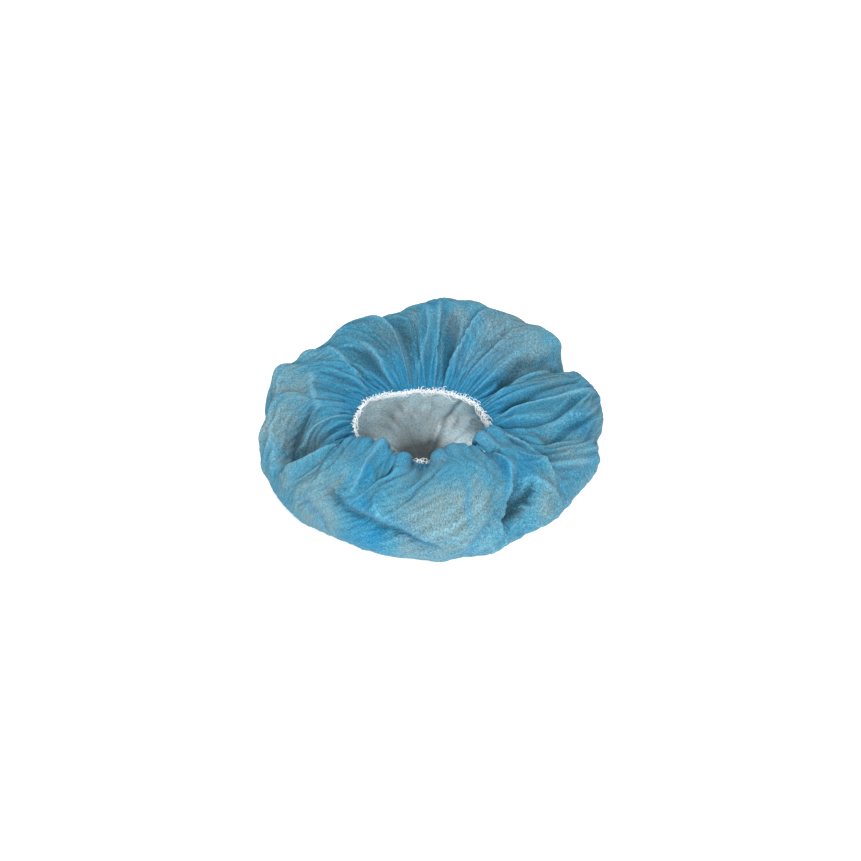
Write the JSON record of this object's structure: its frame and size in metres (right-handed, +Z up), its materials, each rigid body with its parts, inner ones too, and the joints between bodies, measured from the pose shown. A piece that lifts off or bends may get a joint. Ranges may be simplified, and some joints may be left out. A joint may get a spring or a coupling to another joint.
{
  "type": "disposable hairnet",
  "caption": "Soft bouffant cap of thin gathered cloth with an elastic round its mouth, lying on its crown with the mouth open upwards.",
  "frame": {"origin": "middle of the footprint, on the surface the cap lies on", "axes": "+Z up out of the mouth, +Y away from the front of the picture, +X to its right"},
  "size_m": [0.2759, 0.267, 0.0863],
  "materials": {
    "cap_cloth": "matte, translucent non-woven",
    "elastic": "matte, fuzzy thread"
  },
  "bodies": {
    "root": {"cap_body": "cap_cloth", "elastic_band": "elastic"}
  },
  "joints": []
}
